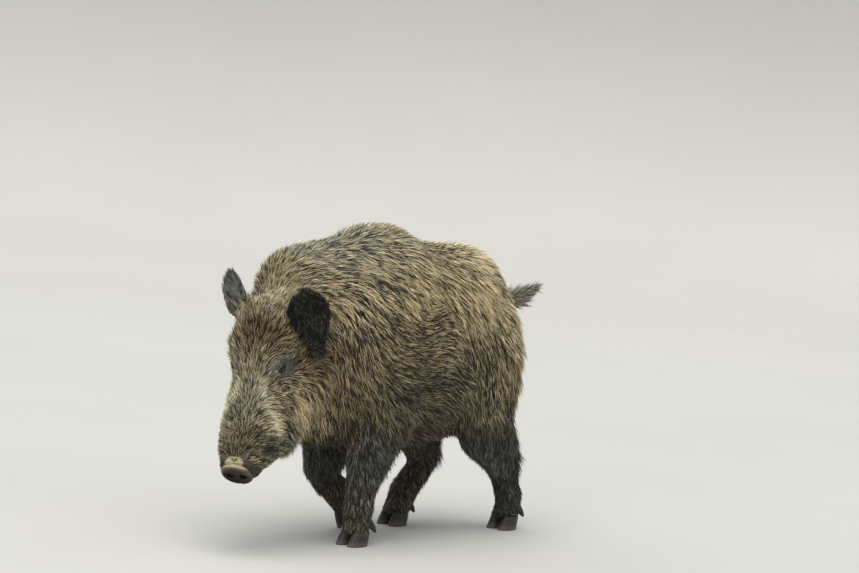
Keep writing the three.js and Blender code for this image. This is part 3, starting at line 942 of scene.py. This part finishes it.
def lock_points(roots, rings):
    """Three points across each lock at each of its rings, the middle one raised as a ridge, and its tip."""
    way, out = roots["way"], roots["out"]
    length, width, lift = (roots[name][:, None] for name in ("length", "width", "lift"))
    length, width, lift = length * MM, width * MM, np.radians(lift)
    twist = random.normal(0, 0.5, (len(way), 1))
    side = np.cross(way, out) * np.cos(twist) + out * np.sin(twist)
    at = roots["at"] - 0.0008 * out  # just under the skin
    points = []
    for ring in range(rings):
        t = ring / rings
        broad = 0.5 * width * np.interp(t, (0, 0.4, 0.7), (0.75, 1, 0.7))
        points += [at - side * broad, at, at + side * broad]
        angle = lift * (1.45 - 1.1 * (t + 0.5 / rings))
        heading = way * np.cos(angle) + out * np.sin(angle)
        points[-2] = at + 0.7 * broad * np.cross(side, heading)
        share = ((ring + 1) / rings) ** 1.5 - t**1.5
        at = at + heading * length / rings + roots["pull"] * share
        at = at - np.array([0, 0, 0.12]) * length * t / rings  # the longer ones sag
    points.append(at)
    return np.stack(points, 1)


def lock_triangles(rings):
    """The triangles of one lock, between its rings and up to its tip."""
    triangles = []
    for start in range(0, 3 * (rings - 1), 3):
        for k in (start, start + 1):
            triangles += [(k, k + 1, k + 4), (k, k + 4, k + 3)]
    last = 3 * rings - 3
    return np.array(triangles + [(last, last + 1, last + 3), (last + 1, last + 2, last + 3)])


def add_locks(name, roots, rings, material):
    """One piece of the coat."""
    points = lock_points(roots, rings)
    count, each = points.shape[:2]
    triangles = (np.arange(count)[:, None, None] * each + lock_triangles(rings)).reshape(-1)
    mesh = bpy.data.meshes.new(name)
    mesh.vertices.add(count * each)
    mesh.vertices.foreach_set("co", points.ravel())
    mesh.loops.add(len(triangles))
    mesh.loops.foreach_set("vertex_index", triangles)
    mesh.polygons.add(len(triangles) // 3)
    mesh.polygons.foreach_set("loop_start", np.arange(0, len(triangles), 3))
    mesh.update(calc_edges=True)
    along = np.append(np.repeat(np.arange(rings), 3) / rings, 1)
    across = np.append(np.tile([0, 0.5, 1], rings), 0.5)
    tones = np.stack([roots["root"], roots["middle"], roots["end"]], 1)
    first = np.clip(2 * along, 0, 1)[None, :, None]
    then = np.clip(2 * along - 1, 0, 1)[None, :, None]
    tint = tones[:, :1] * (1 - first) + tones[:, 1:2] * (first - then) + tones[:, 2:] * then
    add_tint(mesh, tint.reshape(-1, 3))
    place = roots["patch"][:, None] + PATCH * (np.column_stack((across, along)) - 0.5)
    mesh.uv_layers.new(name="OFBake")
    mesh.uv_layers["OFBake"].data.foreach_set("uv", place.reshape(-1, 2)[triangles].ravel())
    finished(name, mesh, material, "coat")


def add_coat(roots, material):
    """The coat, in pieces of locks from everywhere, so that a piece's places on the map lie apart."""
    rings = 1 + (roots["length"] > SHORT) + (roots["length"] > LONG)
    for count, kind in enumerate(("short", "middle", "long"), 1):
        chosen = np.flatnonzero(rings == count)
        pieces = math.ceil(len(chosen) * len(lock_triangles(count)) / MOST_TRIANGLES)
        for number in range(pieces):
            mine = {field: values[chosen[number::pieces]] for field, values in roots.items()}
            add_locks(f"coat_{kind}_{number + 1}", mine, count, material)


# ---------------- eyes, nose, hooves


def add_eye(name, side, material):
    """An eyeball with a low bulge over the iris, looking out between the lids."""
    ball = bmesh.new()
    bmesh.ops.create_uvsphere(ball, u_segments=48, v_segments=32, radius=EYE_RADIUS * MM)
    mesh = bpy.data.meshes.new(name)
    ball.to_mesh(mesh)
    ball.free()
    gaze = HEAD_AXES @ unit(GAZE * [side, 1, 1])
    turn = Vector(gaze).to_track_quat("Z", "Y").to_matrix()
    surface = Surface(mesh)
    from_axis = np.degrees(np.arccos(np.clip(surface.points[:, 2] / (EYE_RADIUS * MM), -1, 1)))
    surface.points *= 1 + 0.06 * bell(from_axis, 0, 26)[:, None]
    surface.points = surface.points @ np.array(turn).T + middle_of(name)
    surface.store()
    angle = mesh.attributes.new("from_axis", "FLOAT", "POINT")
    angle.data.foreach_set("value", from_axis)
    finished(name, mesh, material, "eyeball", name)


EYE_COLOURS = (  # by the angle from the middle of the pupil, 1 for 90 degrees
    (0, (0.003, 0.003, 0.004)),
    (0.2, (0.005, 0.004, 0.004)),
    (0.25, (0.022, 0.012, 0.006)),
    (0.5, (0.014, 0.008, 0.005)),
    (0.6, (0.03, 0.025, 0.022)),
)


def eye_material():
    m = Material("eye", Coat_Weight=0.5, Coat_Roughness=0.03, Specular_IOR_Level=0.2)
    angle = m.attribute("from_axis", "Fac")
    streaks = m.noise(900, 4)
    rough_angle = m.node("ShaderNodeMath", {0: m.mapped(streaks, -3, 3), 1: angle}, operation="ADD")
    ramp = m.node("ShaderNodeValToRGB", {"Fac": m.mapped(rough_angle.outputs[0], 0, 1, 0, 90)})
    for number, (place, colour) in enumerate(EYE_COLOURS):
        stop = ramp.color_ramp.elements[number] if number < 2 else ramp.color_ramp.elements.new(place)
        stop.position, stop.color = place, (*colour, 1)
    return m.finish(ramp.outputs["Color"], m.mapped(streaks, 0.10, 0.2), streaks, 0.05, 0.0001)


def add_nose(material):
    """The nose disc: a rolled rim round a hollowed face, and two deep nostrils."""
    mesh = voxelled(["nose"], size=0.0013, grow={"rest": 0})
    nose = Surface(mesh)
    nose.points = nose.smoothed(nose.points, 4)
    head = to_head(nose.points)
    disc = np.hypot(head[:, 0] / 37, (head[:, 2] - NOSE[2]) / 32)
    front = step(head[:, 1], -250, -258)
    head[:, 1] += front * (3.2 * step(disc, 0.86, 0.55) - bell(disc, 0.86, 0.1))
    for side in (1, -1):
        u, v = head[:, 0] - 16 * side, head[:, 2] + 57
        slant = u * side * 0.35
        hole = np.sqrt((u / 9.5) ** 2 + ((v - slant) / 7.5) ** 2)
        head[:, 1] += front * (13 * step(hole, 1.02, 0.7) - 1.4 * bell(hole, 1.3, 0.2))
    groove = bell(head[:, 0], 0, 2) * step(head[:, 2], -60, -70)
    head[:, 1] += 1.2 * front * groove
    nose.points = nose.smoothed(from_head(head), 1, 0.4)
    nose.store()
    upper = step(head[:, 2], -40, -26) * step(head[:, 1], -257, -252)
    rim = step(disc, 0.8, 1.0)
    dark = np.array([0.011, 0.0085, 0.006])
    tint = dark + (np.array([0.10, 0.084, 0.058]) - dark) * rim[:, None]
    add_tint(mesh, tint + (np.array(SADDLE_COLOUR) - tint) * upper[:, None])
    finished("nose", mesh, material, "nose_skin", "nose")


HOOF_HEIGHT = 0.034


def add_horn(node, material):
    """A hoof or a dewclaw, its edges worn round and its sole left flat."""
    mesh = voxelled([node], size=0.0018, grow={"rest": 0.0006})
    horn = Surface(mesh)
    sole = horn.points[:, 2] < 0.0012
    horn.points = horn.smoothed(horn.points, 14)
    height = np.where(sole, 0, np.maximum(horn.points[:, 2], 0))
    horn.points[:, 2] = height
    horn.store()
    wear = step(height / HOOF_HEIGHT, 0.5, 0.05)[:, None]
    add_tint(mesh, np.array([0.026, 0.024, 0.022]) + wear * np.array([0.06, 0.05, 0.036]))
    finished(node, mesh, material, "horn", node)


def horn_material():
    m = Material("horn", Specular_IOR_Level=0.4)
    waves = {"Vector": m.place, "Scale": 120.0, "Distortion": 3.0}
    rings = m.node("ShaderNodeTexWave", waves, bands_direction="Z")
    scratches = m.noise(300, 5)
    colour = m.shaded(m.attribute("tint", "Color"), scratches, 0.6, 1.6)
    ridges = m.node("ShaderNodeMath", {0: rings.outputs["Fac"], 1: scratches}, operation="ADD")
    return m.finish(colour, m.mapped(scratches, 0.35, 0.6), ridges.outputs[0], 0.35)


# ---------------- the boar


def add_skin(material):
    """The skin, tinted from the coat over it; gives that coat and where each triangle lies on the map."""
    skin = build_skin()
    sculpt_face(skin)
    skin.store()
    coat = Coat(skin, nearest_nodes(skin.points))
    shape_coat(coat)
    mark_coat(coat)
    grain = noise_at(skin.points, 25)[:, None]
    tint = 0.8 * coat.root + 0.12 * coat.end
    for side in (1, -1):
        lids = step(almond_distance(coat.head, side)[0], 1.6, 1.15)[:, None]
        tint = tint * (1 - lids) + np.array(LID_COLOUR) * lids
    bare = saddle(coat.head)[:, None]
    # Painted shade: the saddle is darkened in its creases.
    pale = 1 - 0.85 * saddle_creases(coat.head)[:, None]
    tint = tint * (1 - bare) + np.array(SADDLE_COLOUR) * bare * pale
    add_tint(skin.mesh, tint * (1 + 0.5 * grain))
    made = finished("skin", skin.mesh, material, "coat", *FLESH)
    unwrap(made)
    corners = read(made.data.loop_triangles, "loops", 3, np.int32)
    patches = read(made.data.uv_layers["OFBake"].data, "uv", 2)[corners]
    return coat, patches


def add_floor():
    """A pale floor that curves up into a wall all round, far from the boar."""
    flat, bend, wall, around = 9, 2, 5, 128
    profile = [(0, 0), (flat, 0)]
    for angle in np.linspace(0.2, math.pi / 2, 8):
        profile.append((flat + bend * math.sin(angle), bend - bend * math.cos(angle)))
    profile.append((flat + bend, wall))
    points, faces = [], []
    for radius, height in profile:
        for k in range(around):
            angle = 2 * math.pi * k / around
            points.append((radius * math.cos(angle), radius * math.sin(angle), height))
    for ring in range(len(profile) - 1):
        for k in range(around):
            a, b = ring * around + k, ring * around + (k + 1) % around
            faces.append((a, b, b + around, a + around))
    mesh = bpy.data.meshes.new("floor")
    mesh.from_pydata(points, [], faces)
    mesh.shade_smooth()
    m = Material("floor")
    shade = m.noise(0.7, 5)
    colour = m.shaded(m.attribute("tint", "Color"), shade, 0.97, 1.03)
    add_tint(mesh, np.full((len(points), 3), (0.55, 0.54, 0.51)))
    mesh.materials.append(m.finish(colour, m.mapped(shade, 0.7, 0.8), m.noise(60), 0.05))
    floor = bpy.data.objects.new("floor", mesh)
    scene.collection.objects.link(floor)


def main():
    add_camera()
    add_light_and_sky()
    add_floor()
    skin_material = tinted_material("skin", 500, (0.55, 0.8), 0.5)
    hair = tinted_material("coat_hair", 700, (0.45, 0.7), 0.15, Specular_IOR_Level=0.28)
    wet = tinted_material("nose_skin", 420, (0.35, 0.55), 0.6, spread=(0.7, 1.3), Specular_IOR_Level=0.18)
    coat, patches = add_skin(skin_material)
    fewer, broader = ((1, 1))
    roots = plant(coat, coat_lie(coat), patches, coat_amount(coat) * fewer)
    clump(roots)
    roots["width"] = roots["width"] * broader
    add_coat(roots, hair)
    eye = eye_material()
    add_eye("eye_left", 1, eye)
    add_eye("eye_right", -1, eye)
    add_nose(wet)
    horn = horn_material()
    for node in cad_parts:
        if node.startswith(("hoof", "dewclaw")):
            add_horn(node, horn)


main()
